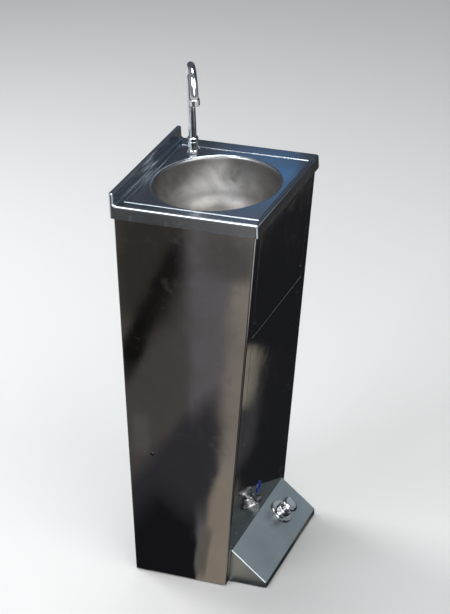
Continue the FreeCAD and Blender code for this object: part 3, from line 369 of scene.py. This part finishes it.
# The record can shorten the CAD spring along z only. The valve is tilted, so this one stands for it.
press = next(j for j in frame["record"]["behaviour"]["joints"] if j["name"] == "foot_button_press")
valve_axis = -Vector(press["axis"]).normalized()
stem_low, stem_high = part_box("foot_valve_stem")
spring_foot = (stem_low + stem_high) / 2 - valve_axis * SPRING_DROP
spring = coil("valve_spring", spring_foot, valve_axis, SPRING_LENGTH, SPRING_RADIUS, SPRING_WIRE,
              SPRING_TURNS)
spring.data.materials.append(looks["steel"])
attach(spring, "cabinet")
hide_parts("foot_valve_spring")
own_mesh(spring)


# ---------------------------------------------------------------- stage
def plain(name, colour, rough, glow=0.0):
    """One even colour, or with glow a surface that shines with it."""
    material = bpy.data.materials.new(name)
    material.use_nodes = True
    shader = material.node_tree.nodes["Principled BSDF"]
    shader.inputs["Base Color"].default_value = (0, 0, 0, 1) if glow else (*colour, 1)
    shader.inputs["Roughness"].default_value = rough
    if glow:
        shader.inputs["Emission Color"].default_value = (*colour, 1)
        shader.inputs["Emission Strength"].default_value = glow
    return material


def flat(name, corners, material):
    """A rectangle of the studio."""
    mesh = bpy.data.meshes.new(name)
    mesh.from_pydata([tuple(c) for c in corners], [], [(0, 1, 2, 3)])
    mesh.materials.append(material)
    item = bpy.data.objects.new(name, mesh)
    scene.collection.objects.link(item)
    return item


def lying(x_low, x_high, y_low, y_high, z):
    """The corners of a level rectangle."""
    return [(x_low, y_low, z), (x_high, y_low, z), (x_high, y_high, z), (x_low, y_high, z)]


def leaning(centre, facing, width, height):
    """The corners of a rectangle that faces a direction."""
    facing = Vector(facing).normalized()
    side = facing.cross(Vector((0, 0, 1))).normalized()
    up = side.cross(facing)
    middle = Vector(centre)
    return [middle + side * sx * width / 2 + up * sz * height / 2
            for sx, sz in ((-1, -1), (1, -1), (1, 1), (-1, 1))]


def card(name, corners, material):
    """A studio card that only reflections see."""
    item = flat(name, corners, material)
    item.visible_camera = False
    item.visible_diffuse = False
    item.visible_shadow = False


def area_light(name, place, target, size, power, colour=(1, 1, 1)):
    data = bpy.data.lights.new(name, "AREA")
    data.shape = "DISK"
    data.size = size
    data.energy = power
    data.color = colour
    lamp = bpy.data.objects.new(name, data)
    lamp.location = place
    lamp.rotation_euler = (Vector(target) - Vector(place)).to_track_quat("-Z", "Y").to_euler()
    scene.collection.objects.link(lamp)
    return lamp


flat("floor", lying(-9, 9, -9, 9, 0), plain("floor", (0.50, 0.50, 0.495), 0.8))

world = bpy.data.worlds.new("studio")
world.use_nodes = True
world.node_tree.nodes["Background"].inputs[0].default_value = (0.86, 0.93, 1.0, 1)
world.node_tree.nodes["Background"].inputs[1].default_value = 0.34
scene.world = world
scene.view_settings.view_transform = "Standard"

area_light("key", (-1.5, -2.6, 3.7), (0, 0, 0.5), 3.2, 95, (1.0, 0.98, 0.95))
area_light("front", (-3.5, -1.5, 1.95), (0, 0, 0.8), 3.0, 55, (1.0, 0.99, 0.97))
area_light("fill", (-2.2, 1.2, 3.2), (0, 0, 0.5), 2.2, 70, (0.95, 0.97, 1.0))
area_light("overhead", (0.7, 0.3, 3.6), (0, 0, 0.8), 1.2, 45, (0.95, 0.97, 1.0))
area_light("rim", (0.8, 2.6, 2.6), (0, 0, 0.8), 1.6, 110).visible_glossy = False


# ---------------------------------------------------------------- what the polished sheets mirror
# The cards stand for the tent, the strap and the sky that the photo shows mirrored in the sheets.
# The first number says where a sheet stands. The other two are slopes of the rays that it mirrors
# into the main view.
SIDE_FOOT, SIDE_RUN, SIDE_DRIFT = 0.169, -1.75, 0.418
FRONT_FOOT, FRONT_RUN, FRONT_DRIFT = 0.055, -0.542, 1.536
DECK_HEIGHT, DECK_RUN, DECK_DRIFT = 0.85, 1.751, 0.732
CARD_LIFT = 0.001                 # of the cards that lie on the floor


def mirrored_in_side(g, x, y, z):
    """Floor point to the place on the near side panel that mirrors it, for the main view."""
    run = g.calc("ADD", x, SIDE_FOOT)
    return g.calc("ADD", y, g.calc("MULTIPLY", run, SIDE_DRIFT)), g.calc("DIVIDE", run, SIDE_RUN)


def mirrored_in_front(g, x, y, z):
    """Floor point to the place on the sloping front that mirrors it, for the main view."""
    height = g.calc("DIVIDE", g.calc("ADD", y, FRONT_FOOT), FRONT_RUN)
    return g.calc("SUBTRACT", x, g.calc("MULTIPLY", height, FRONT_DRIFT)), height


def mirrored_in_deck(g, x, y, z):
    """Point over the sink to the place on the deck that mirrors it, for the main view: its x and y."""
    rise = g.calc("SUBTRACT", z, DECK_HEIGHT)
    return (g.calc("SUBTRACT", x, g.calc("MULTIPLY", rise, DECK_RUN)),
            g.calc("SUBTRACT", y, g.calc("MULTIPLY", rise, DECK_DRIFT)))


def painted(name, ground, patches, mirrored):
    """A dim glow with soft patches, for a card that a polished sheet mirrors.

    The patches are placed in the sheet's own terms, because each point of the sheet mirrors one point
    of the card. A patch is a rounded box: across, height (on the deck x and y), half its size each way,
    its turn in degrees, the softness of its border and its colour.
    """
    g = Graph(bpy.data.materials.new(name))
    split = g.add("ShaderNodeSeparateXYZ")
    g.put(split.inputs[0], g.place)
    across, height = mirrored(g, *split.outputs)
    across = g.calc("ADD", across, g.band(g.noise(3.0, 3.0), 0.0, 1.0, -0.02, 0.02))
    tone = rgba(ground)
    for centre, level, half_width, half_height, turn, softness, colour in patches:
        dx = g.calc("SUBTRACT", across, centre)
        dz = g.calc("SUBTRACT", height, level)
        cos, sin = math.cos(math.radians(turn)), math.sin(math.radians(turn))
        legs = (g.weigh(dx, cos / half_width, dz, sin / half_width),
                g.weigh(dx, -sin / half_height, dz, cos / half_height))
        reach = g.calc("ADD", *(g.calc("POWER", g.calc("ABSOLUTE", leg, 0.0), 4.0) for leg in legs))
        tone = g.blend(g.band(reach, 1.0 + softness, 1.0 - softness), tone, colour)
    g.put(g.shader.inputs["Base Color"], (0, 0, 0, 1))
    g.shader.inputs["Specular IOR Level"].default_value = 0.0
    g.put(g.shader.inputs["Emission Color"], tone)
    g.shader.inputs["Emission Strength"].default_value = 1.0
    return g.material


side_patches = [
    (0.130, 0.80, 0.100, 0.22, 0, 0.5, (0.052, 0.051, 0.044)),
    (0.108, 0.66, 0.270, 0.034, 113, 0.6, (0.010, 0.010, 0.010)),
    (-0.080, 0.165, 0.600, 0.20, 130, 0.35, (0.045, 0.045, 0.060)),
    (-0.105, 0.125, 0.600, 0.19, 130, 0.5, (0.015, 0.015, 0.019)),
    (0.145, 0.29, 0.022, 0.045, 0, 0.9, (0.150, 0.142, 0.150)),
    (-0.111, 0.45, 0.132, 2.00, -1.2, 0.12, (0.195, 0.183, 0.208)),
    (-0.018, 0.27, 0.150, 0.080, 125, 0.8, (0.052, 0.052, 0.063)),
    (-0.125, 0.40, 0.061, 2.00, 6.5, 0.6, (0.350, 0.318, 0.290)),
    (-0.095, 0.82, 0.080, 0.085, 0, 0.8, (0.128, 0.125, 0.128)),
    (-0.046, 0.05, 0.047, 0.19, 11, 0.4, (0.400, 0.352, 0.296)),
    (-0.004, 0.06, 0.014, 0.050, 11, 0.9, (0.190, 0.186, 0.162)),
    (-0.065, 1.04, 0.105, 0.140, 0, 0.3, (0.200, 0.185, 0.165)),
]
front_patches = [
    (-0.120, 0.33, 0.100, 0.095, 0, 0.9, (0.062, 0.063, 0.068)),
    (-0.150, 0.47, 0.110, 0.072, -25, 0.5, (0.310, 0.285, 0.240)),
    (-0.165, 0.12, 0.050, 0.090, 0, 0.9, (0.120, 0.108, 0.090)),
    (0.000, 1.05, 0.500, 0.150, 0, 0.3, (0.240, 0.220, 0.190)),
]
deck_patches = [
    (0.000, 0.140, 0.400, 0.050, 0, 0.9, (0.060, 0.064, 0.078)),
    (0.130, -0.090, 0.120, 0.130, 20, 0.9, (0.110, 0.260, 0.500)),
    (-0.140, -0.060, 0.080, 0.140, 0, 0.9, (0.175, 0.180, 0.205)),
]
card("side_reflection", lying(-2.6, -0.1695, -0.9, 1.6, CARD_LIFT),
     painted("side_reflection", (0.112, 0.102, 0.101), side_patches, mirrored_in_side))
card("front_reflection", lying(-0.19, 3.2, -2.0, -0.057, CARD_LIFT),
     painted("front_reflection", (0.017, 0.018, 0.022), front_patches, mirrored_in_front))
card("deck_reflection", leaning((0.63, 0.27, 1.21), (-0.816, -0.341, -0.466), 1.0, 0.9),
     painted("deck_reflection", (0.105, 0.115, 0.140), deck_patches, mirrored_in_deck))
card("upstand_reflection", leaning((0.52, -0.20, 1.16), (-0.816, 0.341, -0.466), 0.6, 0.95),
     plain("upstand_reflection", (0.055, 0.066, 0.082), 1.0, 1.0))
card("sky_right", leaning((2.9, -1.5, 1.6), (-0.82, 0.42, -0.35), 2.0, 1.6),
     plain("sky_right", (0.40, 0.47, 0.50), 1.0, 1.0))
card("sky_blue", leaning((2.9, 1.3, 2.5), (-0.8, -0.34, -0.35), 4.6, 3.6),
     plain("sky_blue", (0.085, 0.115, 0.165), 1.0, 1.0))


# ---------------------------------------------------------------- camera
camera_data = bpy.data.cameras.new("camera")
camera = bpy.data.objects.new("camera", camera_data)
scene.collection.objects.link(camera)
scene.camera = camera
camera_data.sensor_width = 36.0
camera_data.lens = 132.2
camera_data.clip_end = 60.0

AZIMUTH, ELEVATION, ROLL = math.radians(-67.3), math.radians(27.8), math.radians(2.3)
DISTANCE = 4.61
AIM = Vector((0.02, 0.0, 0.554))
back = Vector((math.sin(AZIMUTH) * math.cos(ELEVATION), -math.cos(AZIMUTH) * math.cos(ELEVATION),
               math.sin(ELEVATION)))
right = (-back).cross(Vector((0, 0, 1))).normalized()
up = right.cross(-back)
tilted_right = right * math.cos(ROLL) - up * math.sin(ROLL)
tilted_up = right * math.sin(ROLL) + up * math.cos(ROLL)
turn = Matrix((tilted_right, tilted_up, back)).transposed()
camera.matrix_world = Matrix.Translation(AIM + back * DISTANCE) @ turn.to_4x4()
